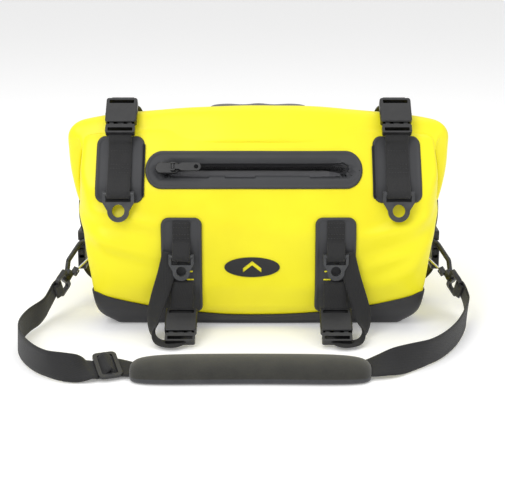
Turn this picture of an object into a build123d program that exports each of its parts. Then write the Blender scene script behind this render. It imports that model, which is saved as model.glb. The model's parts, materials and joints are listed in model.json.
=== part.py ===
from build123d import *
from math import cos, radians, sin, tan
import os

# Roll-top tail bag: welded body, roll closure, front pocket, lashing straps, shoulder strap.
# Frame: +X along the bag, -Y is the front face, +Z up, origin under the middle of the base.
# All sizes are in millimetres.
os.makedirs("parts", exist_ok=True)

# Driving dimensions of the bag
BASE_HALF = 160.0        # half length of the flat underside
WAIST_HALF = 197.0       # half length at the widest height
WAIST_HEIGHT = 128.0
TOP_HALF = 193.0         # half length at the top corners
TOP_HEIGHT = 206.0
FRONT_Y = -122.0         # front face
REAR_Y = 122.0           # rear face
CORNER_RADIUS = 42.0     # upright corners
SKIN = 3.0               # wall of the coated fabric with its lining
TRAY = 2.6               # wear layer under the bag
GAP = 0.2                # between layers that are welded or sewn together
LIFT = TRAY + GAP        # height of the yellow underside

# Roll closure
ROLL_Y = -18.0
ROLL_UNDER = 214.0       # underside of the roll over the middle of the bag
ROLL_TILT = 12.6         # the roll leans back, degrees
ROLL_HALF = 195.0
ROLL_DROP = 15.0         # the arch of the roll, middle to end
ROLL_WIDTH = 86.0
ROLL_THICK = 16.0
EAR_THICK = 14.0

# Outline of the bag seen from its end, from the underside round the rear to the front
SLOPE_FOOT = (-108.0, 160.0)     # foot of the front slope, as (y, z)
SLOPE_HEAD = (-66.0, 224.0)
BRACE_FOOT = (-121.0, 112.0)     # top of the upright part of the front face
REAR_SHOULDER = (116.0, 170.0)
ROOF_BACK = (100.0, 182.0)

# Webbing
WEB = 25.0               # width of the lashing webbing
WEB_THICK = 1.8
STRAP = 28.0             # width of the shoulder strap
STRAP_THICK = 2.4

# Attachment patches
UPPER_X = 150.0
UPPER_Z = 176.0
UPPER_SIZE = (52.0, 66.0)
LOWER_X = 83.0
LOWER_Z = 75.0
REAR_LOWER_Z = 98.0
LOWER_SIZE = (44.0, 106.0)
PATCH_THICK = 2.0

# Accessory rings
RING_BAR = 2.5           # radius of the bar that the webbing holds
BAR_PLAY = 0.3           # between that bar and the webbing round it
RING_PLATE = 4.0
RING_STAND = 7.5         # bar's axis above the bag's face

# Pocket zip
ZIP_X = -5.0
ZIP_Z = 176.0
ZIP_PATCH = (235.0, 37.0)
ZIP_WINDOW = (206.0, 13.0)
ZIP_CHAIN = (196.0, 4.4)
SLIDER_X = -98.0
SLIDER = (26.0, 12.0, 4.6)

# Side-release buckles
BUCKLE_HALF = 17.0
BUCKLE_THICK = 9.0
CAVITY_HALF = 14.5
CAVITY_THICK = 5.6


def front_face_y(z):
    """Depth of the bag's front face at height z."""
    points = [(FRONT_Y, 52.0), BRACE_FOOT, SLOPE_FOOT, SLOPE_HEAD]
    for low, high in zip(points[:-1], points[1:]):
        if z <= high[1]:
            share = (z - low[1]) / (high[1] - low[1])
            return low[0] + share * (high[0] - low[0])
    return SLOPE_HEAD[0]


roll_plane = Plane(
    origin=(0, ROLL_Y, ROLL_UNDER),
    x_dir=(1, 0, 0),
    z_dir=(0, -cos(radians(ROLL_TILT)), sin(radians(ROLL_TILT))),
)


def arch(x):
    """Height of the roll's arch at x, from its middle."""
    return -ROLL_DROP * (x / ROLL_HALF) ** 2


# %% The bag's form, at any layer: growth is the distance outside the yellow face
def make_form(growth):
    with BuildPart(mode=Mode.PRIVATE) as form:
        with BuildSketch(Plane.XZ):
            with BuildLine():
                Polyline(
                    (0, LIFT),
                    (BASE_HALF, LIFT),
                    (BASE_HALF + 16, 18),
                    (WAIST_HALF, WAIST_HEIGHT),
                    (TOP_HALF, TOP_HEIGHT),
                    (TOP_HALF - 20, 250),
                    (0, 250),
                )
                mirror(about=Plane.YZ)
            make_face()
            offset(amount=growth, kind=Kind.INTERSECTION)
        extrude(amount=200, both=True)
        with BuildSketch(Plane.YZ):
            with BuildLine():
                Polyline(
                    (-96, LIFT),
                    (96, LIFT),
                    (115, 30),
                    (REAR_Y, 60),
                    (REAR_Y - 1, 130),
                    REAR_SHOULDER,
                    ROOF_BACK,
                    (24, 206),
                    SLOPE_HEAD,
                    SLOPE_FOOT,
                    BRACE_FOOT,
                    (FRONT_Y, 52),
                    (-114, 26),
                    close=True,
                )
            make_face()
            offset(amount=growth, kind=Kind.INTERSECTION)
        extrude(amount=260, both=True, mode=Mode.INTERSECT)
        with BuildSketch(Plane.XY):
            plan = (2 * (WAIST_HALF + growth), 2 * (REAR_Y + growth))
            RectangleRounded(*plan, CORNER_RADIUS + growth)
        extrude(amount=260, mode=Mode.INTERSECT)
        with BuildSketch(roll_plane):
            with BuildLine():
                top = growth - 2 * GAP
                rim = ThreePointArc((-240, arch(240) + top), (0, top), (240, arch(240) + top))
                Polyline(rim @ 1, (240, 120), (-240, 120), rim @ 0)
            make_face()
        extrude(amount=400, both=True, mode=Mode.SUBTRACT)
    return form.part


FORMS = {}


def form(growth):
    """The bag's form at a layer, made once."""
    if growth not in FORMS:
        FORMS[growth] = make_form(growth)
    return FORMS[growth]


def save(piece, name):
    piece.label = name
    export_step(piece, f"parts/{name}.step")
    print(name, len(piece.solids()), round(piece.volume))


def layer(prism, near, far):
    """The part of a prism that lies between two layers of the bag."""
    with BuildPart(mode=Mode.PRIVATE) as piece:
        add(prism)
        add(form(far), mode=Mode.INTERSECT)
        add(form(near), mode=Mode.SUBTRACT)
    return piece.part


# %% Yellow body: one welded shell, made of its panels
SEAM_X = 152.0
roof_seam = Plane(origin=(0, -84, 197), x_dir=(1, 0, 0), z_dir=(0, 0.13, 0.99))
bottom_seam = Plane.XY.offset(LIFT + SKIN)
left_seam = Plane(origin=(-SEAM_X, 0, 0), x_dir=(0, 1, 0), z_dir=(1, 0, 0))
right_seam = Plane(origin=(SEAM_X, 0, 0), x_dir=(0, 1, 0), z_dir=(1, 0, 0))

with BuildPart() as shell:
    add(form(0.0))
    add(form(-SKIN), mode=Mode.SUBTRACT)


def panel(name, cuts, slot=False):
    """A panel of the shell: cuts is a list of (plane, side kept)."""
    with BuildPart() as piece:
        add(shell.part)
        for plane, side in cuts:
            split(bisect_by=plane, keep=side)
        if slot:
            with BuildSketch(Plane.XZ):
                with Locations((ZIP_X, ZIP_Z)):
                    SlotOverall(ZIP_CHAIN[0], 7)
            extrude(amount=200, mode=Mode.SUBTRACT)
    save(piece.part, name)


wall = [(roof_seam, Keep.BOTTOM), (bottom_seam, Keep.TOP)]
middle = [(left_seam, Keep.TOP), (right_seam, Keep.BOTTOM)]
panel("bottom_panel", [(bottom_seam, Keep.BOTTOM)])
panel("top_panel", [(roof_seam, Keep.TOP)])
panel("left_end_panel", wall + [(left_seam, Keep.BOTTOM)])
panel("right_end_panel", wall + [(right_seam, Keep.TOP)])
panel("front_panel", wall + middle + [(Plane.XZ, Keep.TOP)], slot=True)
panel("rear_panel", wall + middle + [(Plane.XZ, Keep.BOTTOM)])

# %% Base tray: black wear layer with an upstand that rises to the four corners
TRAY_CORNER = 44.0
with BuildPart() as base_tray:
    add(form(LIFT))
    add(form(GAP), mode=Mode.SUBTRACT)
    with BuildSketch(Plane.XZ):
        with BuildLine():
            edge = ThreePointArc((-164, TRAY_CORNER), (0, 13), (164, TRAY_CORNER))
            Polyline(edge @ 1, (164, 300), (-164, 300), edge @ 0)
        make_face()
    extrude(amount=200, both=True, mode=Mode.SUBTRACT)
    with BuildSketch(Plane.YZ):
        with BuildLine():
            edge = ThreePointArc((-98, TRAY_CORNER), (0, 9), (98, TRAY_CORNER))
            Polyline(edge @ 1, (98, 300), (-98, 300), edge @ 0)
        make_face()
    extrude(amount=260, both=True, mode=Mode.SUBTRACT)
    split(bisect_by=Plane.XY.offset(TRAY_CORNER), keep=Keep.BOTTOM)
save(base_tray.part, "base_tray")

# %% Base board inside the bag
with BuildPart() as base_board:
    with BuildSketch(Plane.XY.offset(LIFT + SKIN + 0.3)):
        RectangleRounded(290, 170, 20)
    extrude(amount=3)
save(base_board.part, "base_board")

# %% Roll closure, with the stiffener strip inside it
STIFFENER = (46.0, 3.0)


def roll_band(half, low, high):
    """Outline between two arcs of the roll's arch."""
    with BuildLine() as band:
        lower = ThreePointArc((-half, arch(half) + low), (0, low), (half, arch(half) + low))
        upper = ThreePointArc((-half, arch(half) + high), (0, high), (half, arch(half) + high))
        Line(lower @ 0, upper @ 0)
        Line(lower @ 1, upper @ 1)
    return band.line


with BuildPart() as roll_top:
    with BuildSketch(roll_plane):
        add(roll_band(ROLL_HALF, 0, ROLL_THICK))
        make_face()
    extrude(amount=ROLL_WIDTH / 2, both=True)
    fillet(roll_top.edges().filter_by(GeomType.CIRCLE), 6.5)
    with BuildSketch(roll_plane):
        add(roll_band(ROLL_HALF - 10, 6.2, 9.8))
        make_face()
    extrude(amount=STIFFENER[0] / 2 + 0.4, both=True, mode=Mode.SUBTRACT)
save(roll_top.part, "roll_top")

with BuildPart() as closure_stiffener:
    with BuildSketch(roll_plane):
        add(roll_band(ROLL_HALF - 12, 6.5, 9.5))
        make_face()
    extrude(amount=STIFFENER[0] / 2, both=True)
save(closure_stiffener.part, "closure_stiffener")

# %% The roll's ends, folded down over the bag's ends
EAR_INNER = WAIST_HALF + 1.0
with BuildPart() as roll_ends:
    with BuildSketch(Plane.YZ.offset(EAR_INNER)):
        with BuildLine():
            Polyline((-46, 128), (2, 128), (22, 206), (-60, 214), close=True)
        make_face()
    extrude(amount=EAR_THICK)
    mirror(about=Plane.YZ)
    fillet(roll_ends.edges().filter_by(Axis.X), 6)
save(roll_ends.part, "roll_ends")

# %% Front pocket: welded patch, tape, teeth, liner
with BuildPart() as zip_prism:
    with BuildSketch(Plane.XZ):
        with Locations((ZIP_X, ZIP_Z)):
            SlotOverall(*ZIP_PATCH)
            SlotOverall(*ZIP_WINDOW, mode=Mode.SUBTRACT)
    extrude(amount=200)
save(layer(zip_prism.part, GAP, 2.2), "zip_patch")

with BuildPart() as tape_prism:
    with BuildSketch(Plane.XZ):
        with Locations((ZIP_X, ZIP_Z)):
            SlotOverall(ZIP_WINDOW[0] - 0.4, ZIP_WINDOW[1] - 0.4)
    extrude(amount=200)
save(layer(tape_prism.part, GAP, 1.2), "zip_tape")

with BuildPart() as teeth_prism:
    with BuildSketch(Plane.XZ):
        with Locations((ZIP_X, ZIP_Z)):
            Rectangle(*ZIP_CHAIN)
    extrude(amount=200)
save(layer(teeth_prism.part, 1.4, 2.9), "zip_teeth")

with BuildPart() as liner_prism:
    with BuildSketch(Plane.XZ):
        with Locations((ZIP_X, 142)):
            RectangleRounded(226, 96, 12)
    extrude(amount=200)
save(layer(liner_prism.part, -6.4, -3.4), "pocket_liner")

# %% Zip slider and pull, on the front slope
slope_run = SLOPE_HEAD[0] - SLOPE_FOOT[0]
slope_rise = SLOPE_HEAD[1] - SLOPE_FOOT[1]
slope_normal = Vector(0, -slope_rise, slope_run).normalized()
slider_plane = Plane(
    origin=(SLIDER_X, front_face_y(ZIP_Z), ZIP_Z), x_dir=(1, 0, 0), z_dir=slope_normal
)
SLIDER_FLOOR = 3.3       # above the teeth
PIVOT_X = 6.0
PIVOT_RISE = 10.4
pivot = slider_plane.offset(PIVOT_RISE).origin + Vector(PIVOT_X, 0, 0)
pivot_plane = Plane(origin=pivot, x_dir=(1, 0, 0), z_dir=slider_plane.y_dir)
with BuildPart() as zip_slider:
    with BuildSketch(slider_plane.offset(SLIDER_FLOOR)):
        SlotOverall(SLIDER[0], SLIDER[1])
    extrude(amount=SLIDER[2])
    fillet(zip_slider.faces().sort_by(Axis.Y)[0].edges(), 1.0)
    with BuildSketch(slider_plane.offset(SLIDER_FLOOR + SLIDER[2] - 1)):
        with Locations((PIVOT_X, 3.9), (PIVOT_X, -3.9)):
            Rectangle(4.4, 1.6)
    extrude(amount=PIVOT_RISE - SLIDER_FLOOR - SLIDER[2] + 3)
    with BuildSketch(pivot_plane):
        Circle(0.9)
    extrude(amount=3.9, both=True)
save(zip_slider.part, "zip_slider")

TAB = (24.0, 9.0, 1.8)
with BuildPart() as zip_pull:
    with BuildSketch(pivot_plane):
        Circle(2.0)
    extrude(amount=2.7, both=True)
    with BuildSketch(slider_plane.offset(PIVOT_RISE - TAB[2] / 2)):
        with Locations((PIVOT_X + 4, 0)):
            Rectangle(8, 5.4)
        with Locations((PIVOT_X + 6 + TAB[0] / 2, 0)):
            SlotOverall(TAB[0], TAB[1])
        with Locations((PIVOT_X + 1 + TAB[0], 0)):
            Circle(2.4, mode=Mode.SUBTRACT)
    extrude(amount=TAB[2])
    with BuildSketch(pivot_plane):
        Circle(1.1)
    extrude(amount=4, both=True, mode=Mode.SUBTRACT)
save(zip_pull.part, "zip_pull")

# %% Emblem: a plain oval with a chevron cut into it
with BuildPart() as emblem_prism:
    with BuildSketch(Plane.XZ):
        with Locations((-7, 74)):
            Ellipse(30, 11)
            with BuildLine():
                Polyline((-17, 68), (-7, 76), (3, 68), (3, 73), (-7, 81), (-17, 73), close=True)
            make_face(mode=Mode.SUBTRACT)
    extrude(amount=200)
save(layer(emblem_prism.part, GAP, 1.4), "emblem")


# %% Attachment patches: front ones face -Y, the rear upper ones lie on the roof
def prism(plane, centres, size, corner, reach):
    """Rounded rectangles of one size, extruded from a plane through the bag's face."""
    with BuildPart(mode=Mode.PRIVATE) as block:
        with BuildSketch(plane):
            with Locations(*centres):
                RectangleRounded(*size, corner)
        extrude(amount=reach)
    return block.part


ROOF_PATCH_Y = 85.0
ROOF_PATCH = (52.0, 48.0)
upper = [(-UPPER_X, UPPER_Z), (UPPER_X, UPPER_Z)]
roof = [(-UPPER_X, ROOF_PATCH_Y), (UPPER_X, ROOF_PATCH_Y)]
lower = [(-LOWER_X, LOWER_Z), (LOWER_X, LOWER_Z)]
rear_lower = [(-LOWER_X, REAR_LOWER_Z), (LOWER_X, REAR_LOWER_Z)]
above_walls = Plane.XY.offset(150)
ahead = Plane.XZ.offset(60)      # clear of the roof, which a prism from the middle would meet
with BuildPart() as attachment_patches:
    add(layer(prism(ahead, upper, UPPER_SIZE, 9, 140), GAP, PATCH_THICK + GAP))
    add(layer(prism(above_walls, roof, ROOF_PATCH, 9, 100), GAP, PATCH_THICK + GAP))
    add(layer(prism(Plane.XZ, lower, LOWER_SIZE, 8, 200), LIFT + GAP, LIFT + GAP + PATCH_THICK))
    add(layer(prism(Plane.XZ, rear_lower, LOWER_SIZE, 8, -200), GAP, PATCH_THICK + GAP))
save(attachment_patches.part, "attachment_patches")


# %% Ring sites: where a ring's bar stands over the bag's face
def site(x, y, z, lean, stand=RING_STAND):
    """Plane at a ring's bar: local x across, y up the face, z out of it."""
    facing = -1 if y < 0 else 1
    out = Vector(0, facing * cos(radians(lean)), sin(radians(lean)))
    return Plane(origin=Vector(x, y, z) + out * stand, x_dir=(-facing, 0, 0), z_dir=out)


SMALL_WEB = 19.0
RINGS = {}
for word, way in (("left", -1), ("right", 1)):
    RINGS[f"ring_front_upper_{word}"] = (
        site(way * UPPER_X, front_face_y(152), 152, 15.2), WEB, 34.0, 30.0)
    RINGS[f"ring_rear_upper_{word}"] = (
        site(way * UPPER_X, 116.5, 166, 7.1), WEB, 34.0, 30.0)
    RINGS[f"ring_front_lower_{word}"] = (
        site(way * LOWER_X, front_face_y(88), 88, 1.0, 10.3), SMALL_WEB, 27.0, 26.0)
    RINGS[f"ring_rear_lower_{word}"] = (
        site(way * LOWER_X, 121.3, 114, 1.0), SMALL_WEB, 27.0, 26.0)

BAR_END = 3.0            # how far the plate reaches past the bar
WINDOW = (2.0, 11.5)     # the webbing's window: wider than the webbing by, and its height
WINDOW_DROP = 2.75
for name, (plane, web, width, length) in RINGS.items():
    eye = width / 5
    neck = width * 0.34
    eye_drop = length * 0.6
    shoulder = length * 0.3
    with BuildPart() as ring:
        with BuildSketch(plane.offset(-RING_PLATE / 2)):
            with BuildLine():
                edge = ThreePointArc((neck, -eye_drop), (0, -length), (-neck, -eye_drop))
                Polyline(
                    edge @ 1,
                    (-width / 2, -shoulder),
                    (-width / 2, BAR_END),
                    (width / 2, BAR_END),
                    (width / 2, -shoulder),
                    edge @ 0,
                )
            make_face()
            with Locations((0, -WINDOW_DROP)):
                Rectangle(web + WINDOW[0], WINDOW[1], mode=Mode.SUBTRACT)
            with Locations((0, -eye_drop)):
                Circle(eye, mode=Mode.SUBTRACT)
        extrude(amount=RING_PLATE)
        with BuildSketch(Plane(origin=plane.origin, x_dir=plane.y_dir, z_dir=plane.x_dir)):
            Circle(RING_BAR)
        extrude(amount=width / 2 - 1, both=True)
    save(ring.part, name)


# %% Sewn webbing that holds the rings: a flat stretch on the patch and a loop round the bar
def bar_loop(plane, web):
    """The loop of webbing round a ring's bar."""
    with BuildPart(mode=Mode.PRIVATE) as loop:
        with BuildSketch(Plane(origin=plane.origin, x_dir=plane.y_dir, z_dir=plane.x_dir)):
            Circle(RING_BAR + BAR_PLAY + WEB_THICK)
            Circle(RING_BAR + BAR_PLAY, mode=Mode.SUBTRACT)
        extrude(amount=web / 2, both=True)
    return loop.part


def bar_hole(plane):
    """Room for a ring's bar."""
    with BuildPart(mode=Mode.PRIVATE) as hole:
        with BuildSketch(Plane(origin=plane.origin, x_dir=plane.y_dir, z_dir=plane.x_dir)):
            Circle(RING_BAR + BAR_PLAY)
        extrude(amount=30, both=True)
    return hole.part


SEWN = {
    "front_upper": (ahead, 155, 206, 140, PATCH_THICK + 2 * GAP),
    "rear_upper": (above_walls, 64, 125, 100, PATCH_THICK + 2 * GAP),
    "front_lower": (Plane.XZ, 90.5, 124, 200, LIFT + PATCH_THICK + 2 * GAP),
    "rear_lower": (Plane.XZ, 116.5, 148, -200, PATCH_THICK + 2 * GAP),
}


def ring_tab(name):
    """The sewn strip and the loop that hold one ring."""
    plane, web, width, length = RINGS[name]
    base, low, high, reach, under = SEWN[name[5:].rsplit("_", 1)[0]]
    centre = (plane.origin.X, (low + high) / 2)
    strip = layer(prism(base, [centre], (web, high - low), 0.5, reach), under, under + 2.8)
    with BuildPart(mode=Mode.PRIVATE) as tab:
        add(strip)
        if name.startswith("ring_rear_upper"):
            split(bisect_by=Plane.XY.offset(plane.origin.Z), keep=Keep.TOP)
        add(bar_loop(plane, web))
        add(bar_hole(plane), mode=Mode.SUBTRACT)
    return tab.part


with BuildPart() as ring_webbing:
    for name in RINGS:
        add(ring_tab(name), clean=False)
save(ring_webbing.part, "ring_webbing")

# %% Side rings: one hangs at each end of the bag, and the shoulder strap's hook goes in it
SIDE_RING_X = 198.0
SIDE_RING_Y = -14.0
SIDE_RING_TOP = 104.0
SIDE_RING = (51.0, 35.0)
SIDE_RING_CORNER = 12.5
WIRE = 2.5


def side_ring(way):
    """An oval ring of round bar, upright across the bag's end."""
    hang = Plane(
        origin=(way * SIDE_RING_X, SIDE_RING_Y, SIDE_RING_TOP - SIDE_RING[1] / 2),
        x_dir=(0, 1, 0),
        z_dir=(1, 0, 0),
    )
    with BuildSketch(hang, mode=Mode.PRIVATE) as outline:
        RectangleRounded(*SIDE_RING, SIDE_RING_CORNER)
    path = outline.sketch.face().outer_wire()
    with BuildPart(mode=Mode.PRIVATE) as ring:
        with BuildSketch(Plane(origin=path @ 0, z_dir=path % 0)):
            Circle(WIRE)
        sweep(path=path)
    return ring.part


with BuildPart() as side_rings:
    add(side_ring(-1))
    add(side_ring(1))
save(side_rings.part, "side_rings")

# %% Side-release buckles. Local frame: x across, y from the tongue to the socket, z out
TONGUE_END = -12.0
SOCKET_END = 34.0
MID = BUCKLE_THICK / 2
PRONG_THICK = 5.0


def facing(origin, along, out):
    """Plane whose local y is along and whose local z is out."""
    along = Vector(*along).normalized()
    out = Vector(*out).normalized()
    return Plane(origin=origin, x_dir=along.cross(out), z_dir=out)


BUCKLES = {}
for word, way in (("left", -1), ("right", 1)):
    BUCKLES[f"top_{word}"] = facing((way * UPPER_X, -76.0, 219.0), (0, 1, 1), (0, -1, 1))
    BUCKLES[f"side_{word}"] = facing((way * 202.0, -11.0, 76.0), (0, 0, -1), (way, 0, 0))
    BUCKLES[f"front_{word}"] = facing(
        (way * LOWER_X, -160.4, 8.2), (0, 0.882, 0.473), (0, -0.473, 0.882))
    BUCKLES[f"rear_{word}"] = facing(
        (way * LOWER_X, 160.4, 8.2), (0, -0.882, 0.473), (0, 0.473, 0.882))

with BuildPart() as socket:
    with BuildSketch():
        with Locations((0, (2 + SOCKET_END) / 2)):
            RectangleRounded(2 * BUCKLE_HALF, SOCKET_END - 2, 3)
        with Locations((0, 28.5)):
            RectangleRounded(WEB + 2, 4.5, 1, mode=Mode.SUBTRACT)
    extrude(amount=BUCKLE_THICK)
    fillet(socket.faces().sort_by(Axis.Z)[-1].outer_wire().edges(), 1.5)
    with BuildSketch(Plane.XY.offset(MID - CAVITY_THICK / 2)):
        with Locations((0, 12)):
            Rectangle(2 * CAVITY_HALF, 20)
        with Locations((0, 14)):
            Rectangle(2 * BUCKLE_HALF + 2, 12)
    extrude(amount=CAVITY_THICK, mode=Mode.SUBTRACT)

with BuildPart() as tongue:
    with BuildSketch(Plane.XY.offset(1)):
        with Locations((0, (TONGUE_END - 0.8) / 2)):
            RectangleRounded(2 * BUCKLE_HALF - 2, -0.8 - TONGUE_END, 2)
        with Locations((0, -7.5)):
            RectangleRounded(WEB + 2, 4.5, 1, mode=Mode.SUBTRACT)
    extrude(amount=BUCKLE_THICK - 2)
    with BuildSketch(Plane.XY.offset(MID - 2)):
        with Locations((0, 9)):
            Rectangle(6, 22)
    extrude(amount=4)

PRONG_OUTLINE = [
    (7.5, 0), (12, 0), (13.2, 9.2), (16.8, 9.8), (17.4, 13),
    (16.8, 16), (13.5, 19.4), (10.5, 19.4), (9, 8),
]

with BuildPart() as buckle_sockets:
    with Locations(*[plane.location for plane in BUCKLES.values()]):
        add(socket.part)
save(buckle_sockets.part, "buckle_sockets")
with BuildPart() as buckle_tongues:
    with Locations(*[plane.location for plane in BUCKLES.values()]):
        add(tongue.part)
save(buckle_tongues.part, "buckle_tongues")
for name, plane in BUCKLES.items():
    for letter, turn in (("a", 1), ("b", -1)):
        with BuildPart() as placed_prong:
            with BuildSketch(plane.offset(MID - PRONG_THICK / 2)):
                with BuildLine():
                    Polyline(*[(turn * x, y) for x, y in PRONG_OUTLINE], close=True)
                make_face()
            extrude(amount=PRONG_THICK)
        save(placed_prong.part, f"prong_{name}_{letter}")

# %% Straps that stay on the bag: flat webbing, drawn from the side and given its width
def ribbon(plane, points, width, radius=6.0, thick=WEB_THICK):
    """Webbing along points in a plane, centred on it."""
    with BuildPart(mode=Mode.PRIVATE) as web:
        with BuildSketch(plane):
            with BuildLine():
                FilletPolyline(*points, radius=radius)
            trace(line_width=thick)
        extrude(amount=width / 2, both=True)
    return web.part


with BuildPart() as top_straps:
    for way in (-1, 1):
        across = Plane.YZ.offset(way * UPPER_X)
        add(ribbon(across, [(-48.5, 248.5), (-34, 236), (22, 224), (64, 203), (98, 192.5)], WEB))
        add(ribbon(across, [(-88, 212), (-98.6, 205.5), (-110, 184)], WEB, 4.0))
save(top_straps.part, "top_straps")

with BuildPart() as side_straps:
    for way in (-1, 1):
        down = Plane.XZ.offset(11)
        add(ribbon(down, [(way * 205.6, 127), (way * 207.4, 110), (way * 206.8, 89)], WEB, 8.0))
        add(ribbon(down, [(way * 205, 41), (way * 196, 30), (way * 190, 18), (way * 188, 6)], WEB))
save(side_straps.part, "side_straps")

with BuildPart() as mounting_straps:
    for way in (-1, 1):
        for side in (-1, 1):
            across = Plane.YZ.offset(way * LOWER_X)
            face = 131.4 if side < 0 else 128.6
            add(ribbon(across, [(side * face, 50), (side * (face - 1), 38),
                                (side * 131.0, 30.8)], WEB, 4.0))
            outer = Plane.YZ.offset(way * (LOWER_X + 33))
            add(ribbon(outer, [(side * 132, 50), (side * 134, 24), (side * 150, 4),
                               (side * 176, 3)], 16, 8.0))
save(mounting_straps.part, "mounting_straps")

# %% Webbing sewn down each end, with the loop that holds the side ring
END_WEB = 22.0


def end_tab(way):
    """The sewn strip and the loop that hold one side ring."""
    bar = Plane(
        origin=(way * SIDE_RING_X, SIDE_RING_Y, SIDE_RING_TOP),
        x_dir=(0, way, 0),
        z_dir=(way, 0, 0),
    )
    block = prism(Plane.YZ, [(SIDE_RING_Y, 115)], (END_WEB, 22), 0.5, way * 230)
    strip = layer(block, GAP, 3.0)
    with BuildPart(mode=Mode.PRIVATE) as tab:
        add(strip)
        with BuildSketch(Plane.XZ.offset(-SIDE_RING_Y)):
            with Locations((way * (SIDE_RING_X - 1.6), SIDE_RING_TOP + 2.4)):
                Rectangle(5, 3)
        extrude(amount=END_WEB / 2, both=True)
        add(bar_loop(bar, END_WEB))
        add(bar_hole(bar), mode=Mode.SUBTRACT)
    return tab.part


with BuildPart() as end_webbing:
    add(end_tab(-1))
    add(end_tab(1))
save(end_webbing.part, "end_webbing")

# %% Carry handle: webbing between the rear upper patches, with a padded grip
HANDLE_Y = 56.0
HANDLE_Z = 217.0
GRIP = (120.0, 44.0, 11.0)
with BuildPart() as carry_handle:
    with BuildSketch(Plane.XZ.offset(-HANDLE_Y)):
        with BuildLine():
            FilletPolyline((-134, 200), (-100, HANDLE_Z), (100, HANDLE_Z), (134, 200), radius=20)
        trace(line_width=WEB_THICK)
    extrude(amount=WEB / 2, both=True)
save(carry_handle.part, "carry_handle")
with BuildPart() as handle_grip:
    with BuildSketch(Plane.XY.offset(HANDLE_Z - GRIP[2] / 2)):
        with Locations((0, HANDLE_Y)):
            RectangleRounded(GRIP[0], GRIP[1], 14)
    extrude(amount=GRIP[2])
    fillet(handle_grip.edges().group_by(Axis.Z)[-1] + handle_grip.edges().group_by(Axis.Z)[0], 4)
    with BuildSketch(Plane.XY.offset(HANDLE_Z - WEB_THICK / 2 - 0.3)):
        with Locations((0, HANDLE_Y)):
            Rectangle(GRIP[0] + 2, WEB + 0.6)
    extrude(amount=WEB_THICK + 0.6, mode=Mode.SUBTRACT)
save(handle_grip.part, "handle_grip")

# %% Snap hooks of the shoulder strap. Local frame: x towards the bag, y up the hook
HOOK_WIRE = 2.8
HOOK_HALF = 9.8
HOOK_TOP = 5.9
COLLAR_Y = -37.0
GATE_PIVOT = (5.0, -33.0)
GATE_TIP = (9.6, -13.2)
CORNER_SHARE = SIDE_RING_CORNER * sin(radians(45))


def hook_plane(way):
    """Plane of one snap hook: its origin is the middle of the side ring's bar inside the hook."""
    corner_y = SIDE_RING_Y - SIDE_RING[0] / 2 + SIDE_RING_CORNER
    corner_z = SIDE_RING_TOP - SIDE_RING[1] + SIDE_RING_CORNER
    origin = Vector(way * SIDE_RING_X, corner_y - CORNER_SHARE, corner_z - CORNER_SHARE)
    down = Vector(way * 0.45, -0.631, -0.631).normalized()
    inward = Vector(-way * 0.893, -0.318, -0.318).normalized()
    return Plane(origin=origin, x_dir=inward, z_dir=inward.cross(down * -1))


for word, way in (("left", -1), ("right", 1)):
    flat = hook_plane(way)
    up = flat.y_dir
    with BuildPart() as snap_hook:
        with BuildLine(flat) as bow:
            FilletPolyline(
                (-4, -38),
                (-HOOK_HALF, -26),
                (-HOOK_HALF, HOOK_TOP),
                (HOOK_HALF, HOOK_TOP),
                (HOOK_HALF, -10),
                radius=9,
            )
        with BuildSketch(Plane(origin=bow.line @ 0, z_dir=bow.line % 0)):
            Circle(HOOK_WIRE)
        sweep(path=bow.line)
        for top, length, radius in ((COLLAR_Y, 6, 5), (COLLAR_Y - 6, 6.4, 2), (COLLAR_Y - 12.2, 2.2, 3.6)):
            with BuildSketch(Plane(origin=flat.from_local_coords((0, top, 0)), z_dir=up * -1)):
                Circle(radius)
            extrude(amount=length)
        with BuildSketch(flat):
            with Locations((4.6, -34.5)):
                Rectangle(6, 8)
        extrude(amount=3.6, both=True)
        with BuildSketch(flat):
            with Locations((GATE_PIVOT[0], GATE_PIVOT[1] + 1.2)):
                Rectangle(9, 8.4)
        extrude(amount=1.8, both=True, mode=Mode.SUBTRACT)
        with BuildSketch(flat):
            with Locations(GATE_PIVOT):
                Circle(0.9)
        extrude(amount=3, both=True)
    save(snap_hook.part, f"snap_hook_{word}")
    with BuildPart() as hook_gate:
        with BuildSketch(flat):
            with Locations(GATE_PIVOT):
                Circle(2.3)
        extrude(amount=1.5, both=True)
        with BuildLine(flat) as gate_line:
            Line(GATE_PIVOT, GATE_TIP)
        with BuildSketch(Plane(origin=gate_line.line @ 0, z_dir=gate_line.line % 0)):
            Circle(1.3)
        sweep(path=gate_line.line)
        with BuildSketch(flat):
            with Locations(GATE_PIVOT):
                Circle(1.1)
        extrude(amount=3, both=True, mode=Mode.SUBTRACT)
    save(hook_gate.part, f"hook_gate_{word}")


# %% Fittings on the shoulder strap: a swivel loop under each hook and one tri-glide
def swivel_loop(way):
    """Barrel round the hook's stud, and the frame that the webbing goes through."""
    flat = hook_plane(way)
    frame_plane = Plane(
        origin=flat.from_local_coords((0, COLLAR_Y - 6, 0)),
        x_dir=flat.z_dir,
        z_dir=flat.z_dir.cross(flat.y_dir),
    )
    barrel_plane = Plane(origin=frame_plane.origin, z_dir=flat.y_dir * -1)
    with BuildPart(mode=Mode.PRIVATE) as loop:
        with BuildSketch(frame_plane):
            with Locations((0, -10.5)):
                RectangleRounded(38, 18.5, 4)
            with Locations((0, -11.2)):
                RectangleRounded(STRAP + 2, 10.4, 2, mode=Mode.SUBTRACT)
        extrude(amount=2.2, both=True)
        with BuildSketch(barrel_plane.offset(0.6)):
            Circle(5.2)
        extrude(amount=5)
        with BuildSketch(barrel_plane):
            Circle(2.35)
        extrude(amount=8, mode=Mode.SUBTRACT)
    return loop.part


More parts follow.
